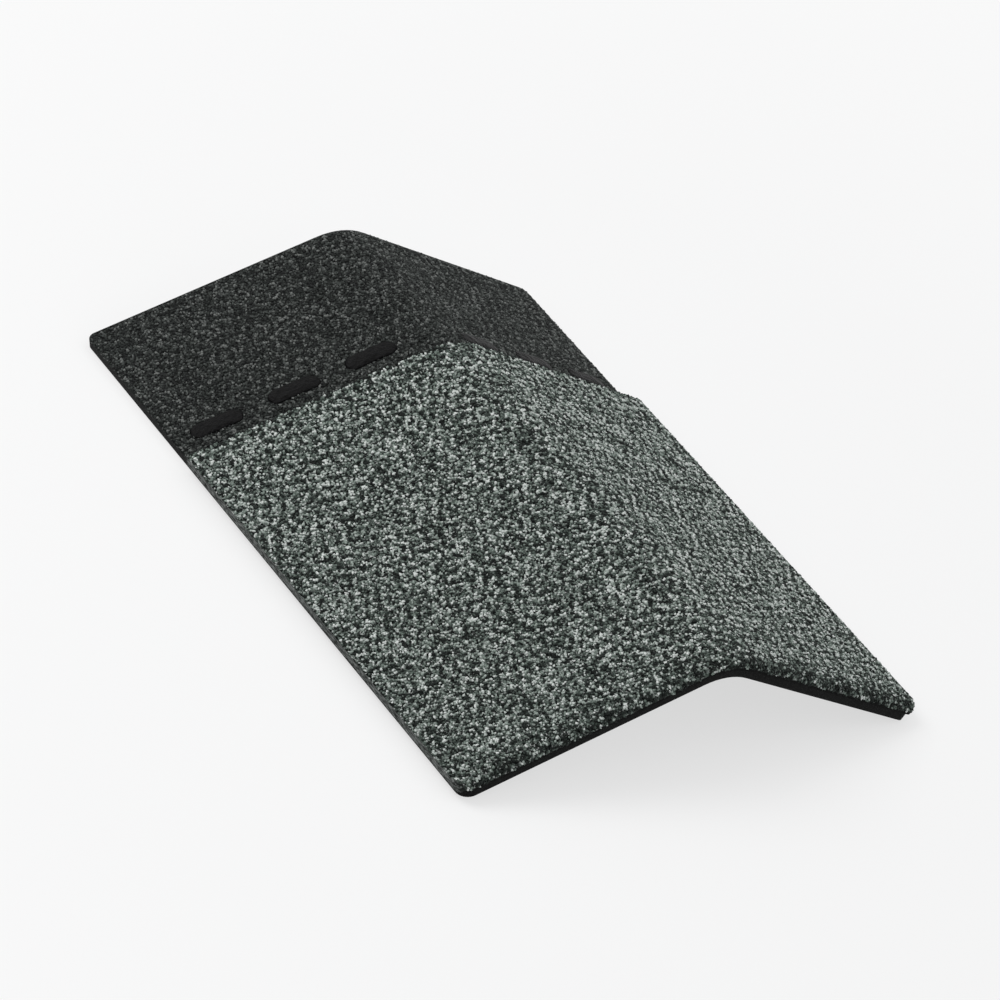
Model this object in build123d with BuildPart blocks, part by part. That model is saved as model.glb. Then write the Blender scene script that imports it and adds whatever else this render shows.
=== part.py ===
from build123d import *
import math
import os

# One hip and ridge cap shingle, bent along its middle as it is laid, in millimetres.
# X runs across the fold, +Y runs along it from the butt to the headlap, +Z is up.
# The origin is at the bottom centre, where the cap stands on its two side edges.

# Bend: degrees that each wing is bent down, and the inside radius of the fold
wing_drop = 21.5
fold_inner_radius = 30.0

# Cap as cut, flat
cap_length = 305.0
cap_width = 254.0
exposure = 203.0

# Plies
base_thickness = 4.0
face_thickness = 5.5
face_overlap = 13.0
ply_setback = 1.5

# Edges
nose_radius = 4.5
face_back_radius = 1.5
butt_corner_radius = 6.0
head_corner_radius = 4.0
cutter_margin = 1.0

# Sealant dashes on the headlap
seals_per_wing = 3
seal_width = 9.0
seal_height = 1.3
seal_edge_radius = 1.1
seal_gap = 12.0
seal_from_fold = 5.0
seal_from_side = 8.0
seal_from_face = 14.0

# Slope of the wings
drop_sine = math.sin(math.radians(wing_drop))
drop_cosine = math.cos(math.radians(wing_drop))

# The flat width is kept along the underside, so the fold uses up part of each wing.
base_outer_radius = fold_inner_radius + base_thickness
fold_half_length = fold_inner_radius * math.radians(wing_drop)
face_wing = cap_width / 2 - fold_half_length
base_wing = face_wing - ply_setback

# The lower corner of each base wing is at height zero.
fold_height = base_wing * drop_sine - fold_inner_radius * drop_cosine

butt_y = -cap_length / 2
head_y = cap_length / 2
face_back_y = butt_y + exposure + face_overlap


def bent_section(back_y, inner_radius, thickness, wing_length):
    """The outline of a ply across the fold: an arc, with a straight wing on each side."""
    fold_axis = (0, fold_height)
    right_wing = Vector(drop_cosine, -drop_sine) * wing_length
    left_wing = Vector(-drop_cosine, -drop_sine) * wing_length
    with BuildSketch(Plane.XZ.offset(-back_y)) as section:
        with BuildLine():
            inner = CenterArc(fold_axis, inner_radius, 90 - wing_drop, 2 * wing_drop)
            outer = CenterArc(fold_axis, inner_radius + thickness, 90 - wing_drop, 2 * wing_drop)
            Polyline(inner @ 0, inner @ 0 + right_wing, outer @ 0 + right_wing, outer @ 0)
            Polyline(inner @ 1, inner @ 1 + left_wing, outer @ 1 + left_wing, outer @ 1)
        make_face()
    return section.sketch


def wing_plane(radius, along, back_y):
    """A plane on the right wing: X down the wing, Y along the fold, Z straight out of the ply."""
    return Plane(
        origin=(
            radius * drop_sine + along * drop_cosine,
            back_y,
            fold_height + radius * drop_cosine - along * drop_sine,
        ),
        x_dir=(drop_cosine, 0, -drop_sine),
        z_dir=(drop_sine, 0, drop_cosine),
    )


def end_edges(ply, which):
    """The edges around a ply's butt face (0) or head face (-1)."""
    return ply.faces().filter_by(Axis.Y).sort_by(Axis.Y)[which].edges()


def wing_tips(ply, which):
    """The two short edges through the thickness, at the tips of the wings."""
    return end_edges(ply, which).filter_by(GeomType.LINE).sort_by(SortBy.LENGTH)[:2]


def upper_edges(ply, which):
    """The upper edge of an end face, from wing tip to wing tip over the fold."""
    fold = end_edges(ply, which).filter_by(GeomType.CIRCLE).sort_by(Axis.Z)[-1]
    wings = end_edges(ply, which).filter_by(GeomType.LINE).sort_by(Axis.Z)[-2:]
    return [fold, *wings]


# Lower ply: the full length, with a plain headlap behind the upper ply
with BuildPart() as base_ply:
    extrude(
        bent_section(head_y, fold_inner_radius, base_thickness, base_wing),
        amount=cap_length - ply_setback,
    )
    fillet(wing_tips(base_ply, -1), head_corner_radius)
    fillet(wing_tips(base_ply, 0), butt_corner_radius)
base_ply.part.label = "base_ply"

# Waste outside the two rounded butt corners of the upper ply
cutter_side = butt_corner_radius + cutter_margin
with BuildPart() as corner_waste:
    with BuildSketch(wing_plane(base_outer_radius, face_wing, butt_y)):
        with Locations((cutter_margin, -cutter_margin)):
            Rectangle(cutter_side, cutter_side, align=(Align.MAX, Align.MIN))
        with Locations((-butt_corner_radius, butt_corner_radius)):
            Circle(butt_corner_radius, mode=Mode.SUBTRACT)
    extrude(amount=face_thickness + cutter_margin, both=True)
    mirror(about=Plane.YZ)

# Upper ply: the exposed length, with a nose rounded right over the fold and two rounded corners
with BuildPart() as face_ply:
    extrude(
        bent_section(face_back_y, base_outer_radius, face_thickness, face_wing),
        amount=face_back_y - butt_y,
    )
    fillet(upper_edges(face_ply, 0), nose_radius)
    fillet(upper_edges(face_ply, -1), face_back_radius)
    add(corner_waste.part, mode=Mode.SUBTRACT)
face_ply.part.label = "face_ply"

# Sealant dashes: domed slots laid across each wing of the headlap, clear of the fold
seal_run = base_wing - seal_from_fold - seal_from_side
seal_length = (seal_run - (seals_per_wing - 1) * seal_gap) / seals_per_wing
seal_places = [
    (seal_from_fold + seal_length / 2 + i * (seal_length + seal_gap), seal_from_face)
    for i in range(seals_per_wing)
]
wing_top = wing_plane(base_outer_radius, 0, face_back_y)
with BuildPart() as seal_strip:
    with BuildSketch(wing_top):
        with Locations(*seal_places):
            SlotOverall(seal_length, seal_width)
    extrude(amount=seal_height)
    crowns = seal_strip.faces().filter_by(lambda f: f.normal_at().dot(wing_top.z_dir) > 0.99)
    fillet(crowns.edges(), seal_edge_radius)
    mirror(about=Plane.YZ)
seal_strip.part.label = "seal_strip"

os.makedirs("parts", exist_ok=True)
export_step(base_ply.part, "parts/base_ply.step")
export_step(face_ply.part, "parts/face_ply.step")
export_step(seal_strip.part, "parts/seal_strip.step")
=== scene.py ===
"""A bent hip and ridge cap shingle: granules, asphalt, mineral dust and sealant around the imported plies."""
import math

import bpy
import numpy as np
from mathutils import Matrix, Vector


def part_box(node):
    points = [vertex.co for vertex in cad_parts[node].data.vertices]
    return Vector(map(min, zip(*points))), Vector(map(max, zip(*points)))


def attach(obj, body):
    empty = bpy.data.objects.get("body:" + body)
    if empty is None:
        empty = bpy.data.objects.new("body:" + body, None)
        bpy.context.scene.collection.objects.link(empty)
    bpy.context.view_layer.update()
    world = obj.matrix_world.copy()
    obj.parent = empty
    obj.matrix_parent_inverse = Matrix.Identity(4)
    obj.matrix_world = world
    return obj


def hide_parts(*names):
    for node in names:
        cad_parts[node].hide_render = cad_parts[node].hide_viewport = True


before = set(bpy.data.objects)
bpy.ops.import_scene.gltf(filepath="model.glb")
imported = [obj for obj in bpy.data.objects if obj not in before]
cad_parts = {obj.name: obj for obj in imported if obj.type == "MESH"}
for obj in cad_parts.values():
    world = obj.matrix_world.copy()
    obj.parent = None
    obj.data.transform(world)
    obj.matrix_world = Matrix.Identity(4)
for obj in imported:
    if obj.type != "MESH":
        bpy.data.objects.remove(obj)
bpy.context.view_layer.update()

# Fold and edges of the cap, in metres, as the solids have them
DROP = math.radians(21.5)
FOLD_RADIUS = 0.030
BASE_THICK = 0.004
FACE_THICK = 0.0055
NOSE_RADIUS = 0.0045
BACK_RADIUS = 0.0015
CORNER_RADIUS = 0.006
HEAD_RADIUS = 0.004
CORNER_FADE = 0.008
BASE_OUTER = FOLD_RADIUS + BASE_THICK
FACE_OUTER = BASE_OUTER + FACE_THICK

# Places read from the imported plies
face_low, face_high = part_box("face_ply")
base_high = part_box("base_ply")[1]
BUTT_Y, FACE_BACK_Y, HEAD_Y = face_low.y, face_high.y, base_high.y
FOLD_Z = base_high.z - BASE_OUTER
FACE_WING = (face_high.x - FACE_OUTER * math.sin(DROP)) / math.cos(DROP)
BASE_WING = (base_high.x - BASE_OUTER * math.sin(DROP)) / math.cos(DROP)
FOLD_HALF = BASE_OUTER * DROP
FACE_REACH = FOLD_HALF + FACE_WING
BASE_REACH = FOLD_HALF + BASE_WING

# Granules: they end just within the solid's surface, so the asphalt below them is set in
GRANULE_PROUD = 0.0008
GRANULE_LEVELS = (0.60, 0.95)
GRANULE_PITCH = 0.00106
GRANULE_ROW = 0.9 * GRANULE_PITCH
GRANULE_SIZES = (0.00055, 0.00098)
GRANULE_STRETCH = (0.8, 1.2)
GRANULE_CHIPS = (0.75, 1.15)
GRANULE_REACH = 0.00125
GRANULE_JITTER = 0.70 * GRANULE_PITCH
EDGE_MARGIN = 0.0004
BARE_LIP = 0.0011
LIP_WANDER = (0.6, 1.5)
PIECE_GRANULES = 24000
SEED = 11

# Tones: small clumps and wide clouds of like granules, and a darker band at the butt, painted shade where the
# nose turns away from the light
CLUMP, CLUMP_SIZE, CLUMP_WAVES = 1.25, 0.0030, 160
CLOUD, CLOUD_SIZE, CLOUD_WAVES = 0.27, 0.016, 60
WAVE_SPREAD = (0.5, 2.2)
TONE_STEEPNESS = 2.0
BUTT_PAINTED_SHADE, BUTT_SHADE_BAND = -0.80, 0.016

# Sealant dashes, as the solids have them
SEALS_PER_WING = 3
SEAL_WIDTH = 0.009
SEAL_HEIGHT = 0.0013
SEAL_GAP = 0.012
SEAL_FROM_FOLD = 0.005
SEAL_FROM_SIDE = 0.008
SEAL_FROM_FACE = 0.014
SEAL_RUN = BASE_WING - SEAL_FROM_FOLD - SEAL_FROM_SIDE
SEAL_LENGTH = (SEAL_RUN - (SEALS_PER_WING - 1) * SEAL_GAP) / SEALS_PER_WING
SEAL_MIDDLES = [FOLD_HALF + SEAL_FROM_FOLD + SEAL_LENGTH / 2 + i * (SEAL_LENGTH + SEAL_GAP)
                for i in range(SEALS_PER_WING)]
SEAL_Y = FACE_BACK_Y + SEAL_FROM_FACE
SEAL_STRAIGHT = (SEAL_LENGTH - SEAL_WIDTH) / 2

# Surface of the dashes: waves that pull the edge in, ripples on the crown, a flattened dome, a sunk edge
SEAL_PULL, SEAL_PULL_MEAN, SEAL_PULL_WAVES = 0.05, 1.3, 5
SEAL_SWELL, SEAL_RIPPLE_ACROSS, SEAL_RIPPLE_ALONG = 0.05, 900.0, 700.0
SEAL_FULL, SEAL_FLATNESS, SEAL_SHOULDER = 0.93 * SEAL_HEIGHT, 3.5, 0.6
SEAL_SUNK = 0.0002
SEAL_RINGS, SEAL_RING_POINTS = 15, 96

# Inset asphalt profile under the face granules
INSET_THICK = FACE_THICK - GRANULE_PROUD
INSET_NOSE = NOSE_RADIUS - GRANULE_PROUD
INSET_BUTT = BUTT_Y + GRANULE_PROUD
RISE = INSET_THICK - INSET_NOSE
NOSE_ARC = INSET_NOSE * math.pi / 2
TOP_RUN = FACE_BACK_Y - BACK_RADIUS - INSET_BUTT - INSET_NOSE
FACE_RUN = RISE + NOSE_ARC + TOP_RUN

# Points of that asphalt across the cap, and along each stretch of its section
MIDDLE_POINTS, CORNER_POINTS = 341, 14
RISE_POINTS, NOSE_POINTS, TOP_POINTS, BACK_POINTS = 4, 10, 110, 6

# Colours: asphalt, mineral filler and dust, sealant, and the ramps of the granules and the cut sides
BLACK_ASPHALT = (0.0025, 0.0026, 0.0026)
# painted sheen: a lighter black mixed into the asphalt in patches
ASPHALT_PAINTED_SHEEN = (0.0075, 0.0077, 0.0075)
FILLER_GREY = (0.060, 0.063, 0.059)
DUST_THIN, DUST_THICK = (0.075, 0.077, 0.073), (0.155, 0.157, 0.148)
# painted shade and highlight of the sealant: darker in its troughs, lighter on its crowns
SEALANT_PAINTED_TROUGH_SHADE, SEALANT_PAINTED_CROWN_HIGHLIGHT = (0.0012, 0.0012, 0.0013), (0.0060, 0.0060, 0.0064)
FACE_STOPS = (
    (0.00, (0.006, 0.008, 0.007)),
    (0.24, (0.022, 0.028, 0.025)),
    (0.38, (0.085, 0.108, 0.094)),
    (0.58, (0.185, 0.226, 0.199)),
    (0.74, (0.340, 0.396, 0.358)),
    (0.88, (0.560, 0.608, 0.575)),
    (1.00, (0.820, 0.850, 0.825)),
)
HEADLAP_STOPS = (
    (0.00, (0.010, 0.011, 0.011)),
    (0.45, (0.034, 0.039, 0.036)),
    (0.85, (0.085, 0.093, 0.088)),
    (1.00, (0.210, 0.218, 0.210)),
)
CUT_STOPS = (
    (0.36, (0.012, 0.013, 0.012)),
    (0.50, (0.085, 0.091, 0.087)),
    (0.64, (0.230, 0.241, 0.233)),
)

# Finish: the dull sheen of asphalt, and the granules pressed level with it, their colours darkened as painted
# shade of the depth between granules
DULL = 0.04
BED_CELL = 0.00105
BED_PAINTED_SHADE = 0.62
BED_SEAM = 7.0

# Floor and surround
FLOOR_HALF = 4.0
FLOOR_PAINT = (0.92, 0.92, 0.92)
FLOOR_GLOW, FLOOR_NEAR, FLOOR_FADE = 0.65, 0.3, 1.0
SKY_FILL, SKY_TINT = 0.52, (0.98, 0.99, 1.0)
WHITE = (1.0, 1.0, 1.0)

# Camera: the way to it and up in the picture, its distance and sensor, and the share of the width filled
TO_CAMERA = Vector((-0.605, -0.585, 0.540)).normalized()
PICTURE_UP = Vector((0.108, 0.611, 0.784)).normalized()
CAMERA_AWAY = 2.3
SENSOR = 36.0
FILL = 0.84
OUTLINE_POINTS = 41


class Socket:
    """A shader socket. An operator used on it adds the node for that sum."""

    def __init__(self, tree, out):
        self.tree, self.out = tree, out

    def maths(self, operation, *values):
        return self.tree.node("ShaderNodeMath", {"operation": operation}, values)

    def __add__(self, other):
        return self.maths("ADD", self, other)

    def __radd__(self, other):
        return self.maths("ADD", other, self)

    def __sub__(self, other):
        return self.maths("SUBTRACT", self, other)

    def __rsub__(self, other):
        return self.maths("SUBTRACT", other, self)

    def __mul__(self, other):
        return self.maths("MULTIPLY", self, other)

    def __rmul__(self, other):
        return self.maths("MULTIPLY", other, self)

    def __gt__(self, other):
        return self.maths("GREATER_THAN", self, other)

    def other(self, out):
        """Another output of the same node."""
        return Socket(self.tree, self.out.node.outputs[out])

    def size(self):
        return self.maths("ABSOLUTE", self)

    def clamped(self):
        return self.maths("MINIMUM", self.maths("MAXIMUM", self, 0.0), 1.0)

    def rising(self, start, gain):
        """Zero up to a start, then rising with a gain, up to one."""
        return ((self - start) * gain).clamped()

    def about_zero(self, spread):
        """A noise of 0 to 1 moved to lie about zero, with a spread."""
        return (self - 0.5) * spread


class Tree:
    """The nodes of a material or a world, with one method that adds any node."""

    def __init__(self, data, output):
        self.data = data
        data.use_nodes = True
        self.nodes, self.links = data.node_tree.nodes, data.node_tree.links
        self.nodes.clear()
        self.output = self.nodes.new(output)

    def plug(self, socket, value):
        """Links a socket, or sets its own value."""
        if isinstance(value, Socket):
            self.links.new(value.out, socket)
        elif isinstance(value, tuple) and socket.type == "RGBA":
            socket.default_value = (*value, 1.0)
        else:
            socket.default_value = value

    def node(self, kind, settings=None, values=(), out=0):
        """Adds a node: its settings and ramp stops first, then its sockets by place or by name."""
        made = self.nodes.new(kind)
        settings = dict(settings or {})
        stops = settings.pop("stops", ())
        for key, value in settings.items():
            setattr(made, key, value)
        for i, (place, colour) in enumerate(stops):
            ramp = made.color_ramp.elements
            element = ramp[i] if i < len(ramp) else ramp.new(place)
            element.position, element.color = place, (*colour, 1.0)
        pairs = values.items() if isinstance(values, dict) else enumerate(values)
        for key, value in pairs:
            self.plug(made.inputs[key], value)
        return Socket(self, made.outputs[out])

    def show(self, shader):
        """Puts a shader on the surface."""
        self.plug(self.output.inputs["Surface"], shader)

    def seen_directly(self):
        """One for rays from the camera, off gloss or through glass, and zero for the rest."""
        camera_ray = self.node("ShaderNodeLightPath", out="Is Camera Ray")
        gloss, clear = camera_ray.other("Is Glossy Ray"), camera_ray.other("Is Transmission Ray")
        return camera_ray.maths("MAXIMUM", camera_ray, gloss.maths("MAXIMUM", gloss, clear))


class Material(Tree):
    """A node material on one principled shader."""

    def __init__(self, name):
        super().__init__(bpy.data.materials.new(name), "ShaderNodeOutputMaterial")
        self.body = self.node("ShaderNodeBsdfPrincipled")
        self.show(self.body)

    def shade(self, **values):
        """Sets inputs of the shader, with words joined by underscores."""
        for key, value in values.items():
            self.plug(self.body.out.node.inputs[key.replace("_", " ")], value)
        return self

    def noise(self, scale, detail=3.0, roughness=0.55, squeeze=(1.0, 1.0, 1.0)):
        """Noise over the object, with squeeze shrinking it along each axis."""
        place = self.node("ShaderNodeTexCoord", out="Object")
        place = self.node("ShaderNodeVectorMath", {"operation": "MULTIPLY"}, [place, squeeze])
        values = {"Vector": place, "Scale": scale, "Detail": detail, "Roughness": roughness}
        return self.node("ShaderNodeTexNoise", None, values)

    def mix(self, factor, first, second):
        """Blends two colours by a factor."""
        return self.node("ShaderNodeMix", {"data_type": "RGBA"}, {0: factor, 6: first, 7: second}, 2)

    def ramp(self, value, stops):
        return self.node("ShaderNodeValToRGB", {"stops": stops}, {0: value})

    def bump(self, height, distance, strength=1.0):
        values = {"Height": height, "Distance": distance, "Strength": strength}
        return self.shade(Normal=self.node("ShaderNodeBump", None, values))


def granule_material(name, stops):
    """Ceramic coated rock: a tone held by each granule picks its colour, and a fine noise breaks it up."""
    m = Material(name)
    tone = m.node("ShaderNodeAttribute", {"attribute_name": "tone"}, out="Fac")
    grit = m.noise(scale=2600.0, detail=2.0)
    colour = m.ramp((tone + grit.about_zero(0.10)).clamped(), stops)
    m.shade(Base_Color=colour, Roughness=0.74 + grit.about_zero(0.3), Specular_IOR_Level=0.2)
    return m.bump(grit, distance=0.00008, strength=0.6).data


def granule_bed(m, stops):
    """Granules pressed level with the asphalt: cells with a tone each, darkened as painted shade of depth,
    and dark where they meet.
    """
    place = m.node("ShaderNodeTexCoord", out="Object")
    values = {"Vector": place, "Scale": 1.0 / BED_CELL}
    cell = m.node("ShaderNodeTexVoronoi", {"feature": "F1"}, values, "Color")
    tone = m.node("ShaderNodeSeparateColor", None, [cell], "Red")
    seam = m.node("ShaderNodeTexVoronoi", {"feature": "DISTANCE_TO_EDGE"}, values, "Distance")
    # painted shade: the bed's colours are darkened as if lying deep among the granules above
    shaded = tuple((stop, tuple(BED_PAINTED_SHADE * part for part in colour)) for stop, colour in stops)
    return m.mix((seam * BED_SEAM).clamped(), BLACK_ASPHALT, m.ramp(tone, shaded))


def body_of_asphalt(m, lumps, filler):
    """Bituminous black: dull, with patches of a lighter black as painted sheen, and filler specks."""
    specks = filler.rising(start=0.56, gain=9.0)
    # the lumps mix in the painted sheen
    return m.mix(specks * 0.5, m.mix(lumps, BLACK_ASPHALT, ASPHALT_PAINTED_SHEEN), FILLER_GREY)


def face_asphalt_material(stops):
    """The upper ply under its granules: black at the butt, the bed of granules where the attribute bed
    says so, and grey with mineral filler where the two sides were cut."""
    m = Material("face_asphalt_cut_and_bed")
    lumps = m.noise(scale=420.0, detail=4.0)
    filler = m.noise(scale=1500.0, detail=3.0, roughness=0.7)
    bed = m.node("ShaderNodeAttribute", {"attribute_name": "bed"}, out="Fac")
    normal = m.node("ShaderNodeNewGeometry", out="True Normal")
    sideways = m.node("ShaderNodeSeparateXYZ", None, [normal], "X").size()
    cut = sideways.rising(start=0.62, gain=5.0)
    colour = m.mix(bed.clamped(), body_of_asphalt(m, lumps, filler), granule_bed(m, stops))
    streaks = m.noise(scale=1150.0, detail=3.0, roughness=0.7, squeeze=(1.0, 0.3, 1.0))
    colour = m.mix(cut, colour, m.ramp(streaks, CUT_STOPS))
    m.shade(Base_Color=colour, Roughness=0.6 + lumps * 0.3, Specular_IOR_Level=DULL)
    return m.bump(lumps + filler * 0.5, distance=0.00025, strength=0.8).data


def base_ply_material(stops):
    """The lower ply: black on its edges, a bed of dark granules above, and dusted with fine pale mineral
    below, where the surface faces down. The dust lies in drifts and shows the asphalt through."""
    m = Material("base_ply_asphalt_and_dust")
    lumps = m.noise(scale=380.0, detail=4.0)
    filler = m.noise(scale=2300.0, detail=3.0, roughness=0.7)
    normal = m.node("ShaderNodeNewGeometry", out="True Normal")
    upright = m.node("ShaderNodeSeparateXYZ", None, [normal], "Z")
    above, below = upright > 0.5, (upright * -1.0) > 0.5
    drifts = m.noise(scale=34.0, detail=4.0, roughness=0.6)
    grains = filler.rising(start=0.43, gain=7.0)
    cover = (grains * (0.35 + drifts * 0.9)).clamped() * below
    black = m.mix(above, body_of_asphalt(m, lumps, filler), granule_bed(m, stops))
    colour = m.mix(cover, black, m.mix(drifts, DUST_THIN, DUST_THICK))
    m.shade(Base_Color=colour, Roughness=0.58 + cover * 0.32, Specular_IOR_Level=DULL)
    return m.bump(lumps * 0.6 + filler, distance=0.00025, strength=0.8).data


def sealant_material():
    """Black adhesive with a soft sheen, slow ripples left by the wheel that laid it, and small pits. Its
    black is painted lighter on the ripple crowns and darker in the troughs, as highlight and shade.
    """
    m = Material("sealant_black")
    ripple = m.noise(scale=300.0, detail=3.0)
    pits = m.noise(scale=1500.0, detail=2.0)
    # painted shade and highlight: the ripple's height makes the black darker low and lighter high
    colour = m.mix(ripple, SEALANT_PAINTED_TROUGH_SHADE, SEALANT_PAINTED_CROWN_HIGHLIGHT)
    m.shade(Base_Color=colour, Roughness=0.35 + pits * 0.25, Specular_IOR_Level=0.07)
    return m.bump(ripple + pits * 0.15, distance=0.0018).data


def carry(across, along, height):
    """Carries flat points onto the folded cap. across is the developed distance from the fold, measured
    on the base ply's upper face, and height is measured outwards from that face. Within the fold the
    distance turns into an angle about the fold's axis; past it the point runs straight down the wing."""
    side, far = np.sign(across), np.abs(across)
    angle = np.minimum(far / FOLD_HALF, 1.0) * DROP
    wing = np.maximum(far - FOLD_HALF, 0.0)
    radius = BASE_OUTER + height
    x = side * (radius * np.sin(angle) + wing * math.cos(DROP))
    z = FOLD_Z + radius * np.cos(angle) - wing * math.sin(DROP)
    return np.stack([x, along, z], -1)


def face_place(across, run, height):
    """Carries a point of the face ply's outer surface onto the cap. run is measured up the butt, round
    the nose as a quarter circle, then back along the top; height is outwards from the inset asphalt.
    Near each wing tip the butt is moved back by the rounded corner, fading out along the top."""
    turn = np.clip((run - RISE) / INSET_NOSE, 0.0, math.pi / 2)
    swing = INSET_NOSE + height
    top = np.maximum(run - RISE - NOSE_ARC, 0.0)
    along = INSET_BUTT + INSET_NOSE - swing * np.cos(turn) + top
    lift = INSET_THICK - INSET_NOSE + swing * np.sin(turn) + np.minimum(run - RISE, 0.0)
    near = np.clip(CORNER_RADIUS - (FACE_REACH - np.abs(across)), 0.0, CORNER_RADIUS)
    cut = CORNER_RADIUS - np.sqrt(CORNER_RADIUS**2 - near**2)
    return carry(across, along + cut * np.clip(1.0 - top / CORNER_FADE, 0.0, 1.0), lift)


def waves(points, seed, count, wavelength):
    """A smooth random field: a sum of cosines in random directions, from half to about twice the
    wavelength long, scaled to a spread of one."""
    rng = np.random.default_rng(seed)
    turn = rng.uniform(0, 2 * math.pi, count)
    size = 2 * math.pi / (wavelength * rng.uniform(*WAVE_SPREAD, count))
    phase = rng.uniform(0, 2 * math.pi, count)
    across, along = points[:, 0, None], points[:, 1, None]
    field = np.cos(size * (across * np.cos(turn) + along * np.sin(turn)) + phase)
    return field.sum(1) / math.sqrt(count / 2)


def linked(name, data):
    """Makes an object of a mesh, lamp or camera, and puts it in the scene."""
    made = bpy.data.objects.new(name, data)
    bpy.context.scene.collection.objects.link(made)
    return made


def finished(name, mesh, material):
    """Links a mesh as a piece that rides on the cap."""
    piece = linked(name, mesh)
    mesh.materials.append(material)
    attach(piece, "root")
    return piece


def mesh_of_triangles(name, points, triangles):
    """Puts whole arrays of points and triangles into a mesh."""
    mesh = bpy.data.meshes.new(name)
    mesh.vertices.add(len(points))
    mesh.vertices.foreach_set("co", points.astype(np.float32).ravel())
    mesh.loops.add(triangles.size)
    mesh.loops.foreach_set("vertex_index", triangles.astype(np.int32).ravel())
    mesh.polygons.add(len(triangles))
    mesh.polygons.foreach_set("loop_start", np.arange(0, triangles.size, 3, dtype=np.int32))
    mesh.update(calc_edges=True)
    return mesh


# An octahedron, seen from outside: the six corners and the eight faces of one granule
CORNERS = np.array([[1, 0, 0], [-1, 0, 0], [0, 1, 0], [0, -1, 0], [0, 0, 1], [0, 0, -1]], float)
SIDES = np.array([[0, 2, 4], [2, 1, 4], [1, 3, 4], [3, 0, 4], [2, 0, 5], [1, 2, 5], [3, 1, 5], [0, 3, 5]])


def random_turns(rng, count):
    """Uniform random turns: a unit quaternion for each, written out as a matrix."""
    q = rng.normal(size=(count, 4))
    w, x, y, z = (q / np.linalg.norm(q, axis=1, keepdims=True)).T
    rows = [1 - 2 * (y * y + z * z), 2 * (x * y - z * w), 2 * (x * z + y * w),
            2 * (x * y + z * w), 1 - 2 * (x * x + z * z), 2 * (y * z - x * w),
            2 * (x * z - y * w), 2 * (y * z + x * w), 1 - 2 * (x * x + y * y)]
    return np.stack(rows, -1).reshape(count, 3, 3)


def scattered(rng, low, high):
    """Places on a staggered grid, each pushed off its place by a random share of the pitch, and turned
    back where that takes it over the edge."""
    columns = int((high[0] - low[0]) / GRANULE_PITCH)
    rows = int((high[1] - low[1]) / GRANULE_ROW)
    u, v = np.meshgrid(np.arange(columns) + 0.5, np.arange(rows) + 0.5, indexing="ij")
    u = u + 0.5 * (np.arange(rows) % 2)[None, :] - 0.25
    flat = np.stack([u.ravel() / columns, v.ravel() / rows], -1)
    low, high = np.array(low), np.array(high)
    places = low + flat * (high - low)
    places += rng.uniform(-1, 1, places.shape) * GRANULE_JITTER
    return high - np.abs(high - low - np.abs(places - low))


def corner_distance(places, reach, end, radius):
    """How far each place lies outside the rounded corners at the end of a ply, as the distance from the
    corner's centre less its radius, with places that aren't beyond that centre counted as inside."""
    beyond = np.abs(places) - (reach - radius, end - radius)
    return np.hypot(*np.maximum(beyond, 0.0).T) - radius


def toned(rng, places, lean=0.0):
    """A tone from 0, dark, to 1, pale, for each place: chance, and smooth fields shared by neighbours
    that put like granules in small clumps, and a lean, all through a logistic curve."""
    clumps = waves(places, SEED + 1, CLUMP_WAVES, CLUMP_SIZE) * CLUMP
    clouds = waves(places, SEED + 2, CLOUD_WAVES, CLOUD_SIZE) * CLOUD
    mixed = (rng.normal(size=len(places)) + clumps + clouds) / math.sqrt(1 + CLUMP**2 + CLOUD**2)
    return 1.0 / (1.0 + np.exp(-TONE_STEEPNESS * (mixed + lean)))


def granules(name, places, tones, place_on, rng, material):
    """Scatters crushed rock. Each granule is an octahedron with its corners pushed at random, turned at
    random, and sunk until its highest corner is at its own level over the asphalt."""
    parts = math.ceil(len(places) / PIECE_GRANULES)
    shares = zip(np.array_split(places, parts), np.array_split(tones, parts))
    for part, (chosen, tone) in enumerate(shares, 1):
        count = len(chosen)
        radius = rng.uniform(*GRANULE_SIZES, (count, 1, 1)) * rng.uniform(*GRANULE_STRETCH, (count, 1, 3))
        corners = CORNERS[None] * rng.uniform(*GRANULE_CHIPS, (count, 6, 1)) * radius
        corners = np.einsum("nij,nkj->nki", random_turns(rng, count), corners)
        top = corners[:, :, 2].max(1, keepdims=True)
        corners[:, :, 2] += rng.uniform(*GRANULE_LEVELS, (count, 1)) * GRANULE_PROUD - top
        corners[:, :, :2] += chosen[:, None, :]
        points = place_on(corners[..., 0], corners[..., 1], corners[..., 2]).reshape(-1, 3)
        triangles = (SIDES[None] + 6 * np.arange(count)[:, None, None]).reshape(-1, 3)
        mesh = mesh_of_triangles(f"{name}_{part}", points, triangles)
        attribute = mesh.attributes.new("tone", "FLOAT", "POINT")
        attribute.data.foreach_set("value", np.repeat(tone, 6).astype(np.float32))
        finished(f"{name}_{part}", mesh, material)


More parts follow.
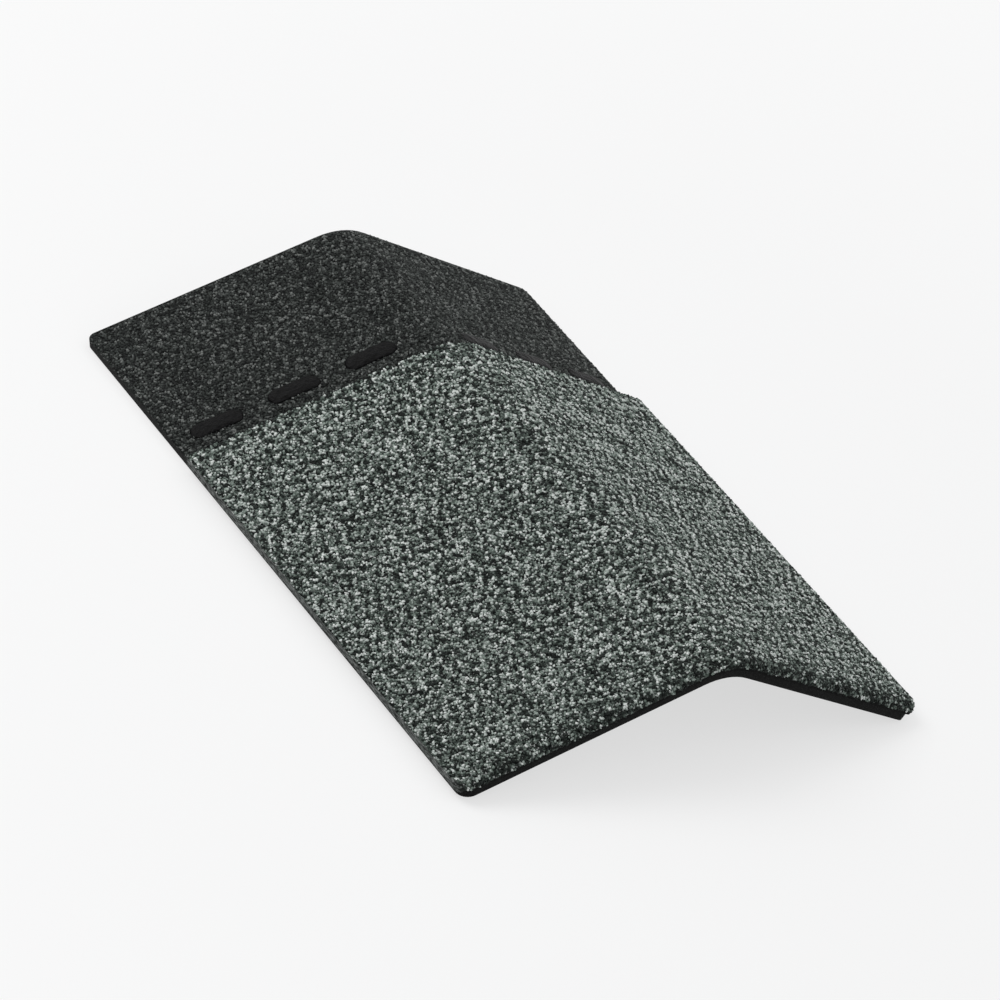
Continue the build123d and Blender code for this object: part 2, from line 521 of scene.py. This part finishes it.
def face_asphalt(material):
    """The upper ply's own asphalt: a rounded bar section, closed round the ply, carried across the cap
    from tip to tip and capped with a flat cut face at each tip."""
    middle = np.linspace(-FACE_REACH + CORNER_RADIUS, FACE_REACH - CORNER_RADIUS, MIDDLE_POINTS)
    corner_turn = np.linspace(0.0, math.pi / 2, CORNER_POINTS)[1:]
    corner = FACE_REACH - CORNER_RADIUS * (1.0 - np.sin(corner_turn))
    stations = np.concatenate([-corner[::-1], middle, corner])
    front = np.linspace(0.0, RISE, RISE_POINTS)[:-1]
    nose = RISE + np.linspace(0.0, NOSE_ARC, NOSE_POINTS)[:-1]
    top = RISE + NOSE_ARC + np.linspace(0.0, TOP_RUN, TOP_POINTS)
    run = np.concatenate([front, nose, top])
    across, runs = np.meshgrid(stations, run, indexing="ij")
    outer = face_place(across, runs, np.zeros_like(runs))
    turn = np.linspace(math.pi / 2, 0.0, BACK_POINTS)[1:]
    back_y = FACE_BACK_Y - BACK_RADIUS + BACK_RADIUS * np.cos(turn)
    back_lift = INSET_THICK - BACK_RADIUS + BACK_RADIUS * np.sin(turn)
    back_y, back_lift = np.append(back_y, FACE_BACK_Y), np.append(back_lift, 0.0)
    shape = (len(stations), len(back_y))
    back = carry(np.broadcast_to(stations[:, None], shape), np.broadcast_to(back_y, shape),
                 np.broadcast_to(back_lift, shape))
    grid = np.concatenate([outer, back], 1)
    rows, around = grid.shape[:2]
    index = np.arange(rows * around).reshape(rows, around)
    following = np.roll(index, -1, 1)
    quads = np.stack([index[:-1], index[1:], following[1:], following[:-1]], -1).reshape(-1, 4)
    faces = quads.tolist() + [index[0].tolist(), index[-1][::-1].tolist()]
    mesh = bpy.data.meshes.new("face_asphalt")
    mesh.from_pydata(grid.reshape(-1, 3).tolist(), [], faces)
    mesh.update()
    bed = np.zeros((rows, around), np.float32)
    bed[:, :len(run)] = run > BARE_LIP
    mesh.attributes.new("bed", "FLOAT", "POINT").data.foreach_set("value", bed.ravel())
    piece = finished("face_asphalt", mesh, material)
    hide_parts("face_ply")


def seal_distance(places):
    """How far each flat place lies outside the nearest sealant dash, as the distance to a straight slot."""
    reach = np.stack([np.abs(np.abs(places[:, 0]) - middle) for middle in SEAL_MIDDLES], -1)
    past = np.maximum(reach - SEAL_STRAIGHT, 0.0)
    return np.hypot(past, (places[:, 1] - SEAL_Y)[:, None]).min(1) - SEAL_WIDTH / 2


def sealant(material):
    """Dashes of adhesive laid hot. Each is a slot outline shrunk towards its middle in rings while its
    height follows a flattened dome, with slow waves that pull the edge in and ripple the crown."""
    rings = np.linspace(1.0, 0.0, SEAL_RINGS)
    turn = np.linspace(0.0, 2 * math.pi, SEAL_RING_POINTS, endpoint=False)
    points, triangles, first = [], [], 0
    for number, middle in enumerate([-m for m in SEAL_MIDDLES] + SEAL_MIDDLES):
        rng = np.random.default_rng(SEED + 50 + number)
        phases = rng.uniform(0, 2 * math.pi, SEAL_PULL_WAVES)
        pull = sum(np.cos((k + 2) * turn + phases[k]) / (k + 2) for k in range(SEAL_PULL_WAVES))
        edge = 1.0 - SEAL_PULL * (SEAL_PULL_MEAN + pull)
        u = np.sign(np.cos(turn)) * SEAL_STRAIGHT + np.cos(turn) * SEAL_WIDTH / 2 * edge
        v = np.sin(turn) * SEAL_WIDTH / 2 * edge
        across = middle + rings[:, None] * u[None, :]
        along = SEAL_Y + rings[:, None] * v[None, :]
        ripple = np.sin(across * SEAL_RIPPLE_ACROSS + phases[0])
        ripple = ripple * np.sin(along * SEAL_RIPPLE_ALONG + phases[1])
        dome = (1.0 - rings[:, None] ** SEAL_FLATNESS) ** SEAL_SHOULDER * SEAL_FULL
        dome = dome * (1.0 + SEAL_SWELL * ripple)
        lift = np.where(rings[:, None] == 1.0, -SEAL_SUNK, dome)
        grid = carry(across, along, lift)
        index = first + np.arange(across.size).reshape(across.shape)
        low, high = index[:-1], index[1:]
        low_next, high_next = np.roll(low, -1, 1), np.roll(high, -1, 1)
        triangles.append(np.stack([low, low_next, high_next], -1).reshape(-1, 3))
        triangles.append(np.stack([low, high_next, high], -1)[:-1].reshape(-1, 3))
        under = index[0]
        triangles.append(np.stack([np.full_like(under[2:], under[0]), under[2:], under[1:-1]], -1))
        points.append(grid.reshape(-1, 3))
        first += across.size
    mesh = mesh_of_triangles("sealant_dashes", np.concatenate(points), np.concatenate(triangles))
    mesh.shade_smooth()
    piece = finished("sealant_dashes", mesh, material)
    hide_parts("seal_strip")


def floor():
    """A pale floor. The camera and gloss see it as two thirds white glow near the cap, where it keeps
    the shadow, and as all glow far off."""
    mesh = bpy.data.meshes.new("floor")
    corners = [(x * FLOOR_HALF, y * FLOOR_HALF, 0.0) for x, y in ((-1, -1), (1, -1), (1, 1), (-1, 1))]
    mesh.from_pydata(corners, [], [(0, 1, 2, 3)])
    made = linked("floor", mesh)
    m = Material("floor_white").shade(Base_Color=FLOOR_PAINT, Roughness=0.9)
    glow = m.node("ShaderNodeEmission", None, {"Color": WHITE, "Strength": 1.0})
    place = m.node("ShaderNodeTexCoord", out="Object")
    away = m.node("ShaderNodeVectorMath", {"operation": "LENGTH"}, [place], "Value")
    far = ((away - FLOOR_NEAR) * FLOOR_FADE).clamped()
    glowing = m.seen_directly() * (FLOOR_GLOW + far * (1.0 - FLOOR_GLOW))
    m.show(m.node("ShaderNodeMixShader", None, [glowing, m.body, glow]))
    mesh.materials.append(m.data)


def surround():
    """White all round for the camera and gloss, and a softer cool white that lights the cap."""
    world = Tree(bpy.data.worlds.new("soft_surround"), "ShaderNodeOutputWorld")
    bpy.context.scene.world = world.data
    fill = world.node("ShaderNodeBackground", None, {"Color": SKY_TINT, "Strength": SKY_FILL})
    white = world.node("ShaderNodeBackground", None, {"Color": WHITE, "Strength": 1.0})
    world.show(world.node("ShaderNodeMixShader", None, [world.seen_directly(), fill, white]))


def lamp(name, place, size, power):
    """A square soft box that points at the cap."""
    data = bpy.data.lights.new(name, "AREA")
    data.size, data.energy = size, power
    made = linked(name, data)
    made.location = place
    made.rotation_mode = "QUATERNION"
    made.rotation_quaternion = (-Vector(place)).to_track_quat("-Z", "Y")


def camera():
    """Looks from the photographed side with its roll, and takes a lens that fills the picture. The
    outline's own points are measured across the view, and the aim is put at their middle."""
    forward = -TO_CAMERA
    right = forward.cross(PICTURE_UP).normalized()
    up = right.cross(forward)
    edge = np.linspace(-FACE_REACH, FACE_REACH, OUTLINE_POINTS)
    ends = ((BUTT_Y, 0.0), (BUTT_Y, FACE_THICK), (HEAD_Y, 0.0))
    points = np.concatenate([carry(edge, np.full_like(edge, y), np.full_like(edge, h)) for y, h in ends])
    spread = [points @ np.array(axis) for axis in (right, up)]
    middle = [(s.max() + s.min()) / 2 for s in spread]
    aim = right * middle[0] + up * middle[1]
    widest = max(s.max() - s.min() for s in spread)
    data = bpy.data.cameras.new("camera")
    data.sensor_width = SENSOR
    data.lens = SENSOR * FILL * CAMERA_AWAY / widest
    made = linked("camera", data)
    place = aim + TO_CAMERA * CAMERA_AWAY
    columns = Matrix((right, up, TO_CAMERA)).transposed()
    made.matrix_world = Matrix.Translation(place) @ columns.to_4x4()
    bpy.context.scene.camera = made


def face_granules(rng, material):
    """Granules over the exposed face: from a bare lip that wanders along the butt, round the nose and back
    over the rear edge, darker towards the butt as painted shade."""
    side = FACE_REACH - EDGE_MARGIN - GRANULE_SIZES[0]
    places = scattered(rng, (-side, BARE_LIP), (side, FACE_RUN + BACK_RADIUS))
    places = places[places[:, 1] > BARE_LIP * rng.uniform(*LIP_WANDER, len(places))]
    # painted shade: tones lean darker within a band at the butt, where the nose turns from the light
    lean = BUTT_PAINTED_SHADE * np.clip(1.0 - places[:, 1] / BUTT_SHADE_BAND, 0.0, 1.0)
    tones = toned(rng, places, lean)
    granules("face_granules", places, tones, face_place, rng, material)


def headlap_granules(rng, material):
    """Granules over the headlap, clear of the sealant dashes and of the two rounded corners."""
    side = BASE_REACH - EDGE_MARGIN - GRANULE_SIZES[0]
    places = scattered(rng, (-side, FACE_BACK_Y + EDGE_MARGIN), (side, HEAD_Y - GRANULE_REACH))
    places = places[seal_distance(places) > -EDGE_MARGIN]
    places = places[corner_distance(places, BASE_REACH, HEAD_Y, HEAD_RADIUS) < -EDGE_MARGIN]
    granules("headlap_granules", places, toned(rng, places), carry, rng, material)


rng = np.random.default_rng(SEED)
face_asphalt(face_asphalt_material(FACE_STOPS))
face_granules(rng, granule_material("face_granules_grey_green", FACE_STOPS))
headlap_granules(rng, granule_material("headlap_granules_dark", HEADLAP_STOPS))
sealant(sealant_material())

base_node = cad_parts["base_ply"]
base_node.data.materials.clear()
base_node.data.materials.append(base_ply_material(HEADLAP_STOPS))

floor()
surround()
lamp("key", place=(-1.0, 0.9, 1.6), size=1.3, power=20.0)
lamp("fill", place=(1.3, -0.2, 1.2), size=1.4, power=2.0)
camera()
bpy.context.scene.view_settings.view_transform = "Standard"
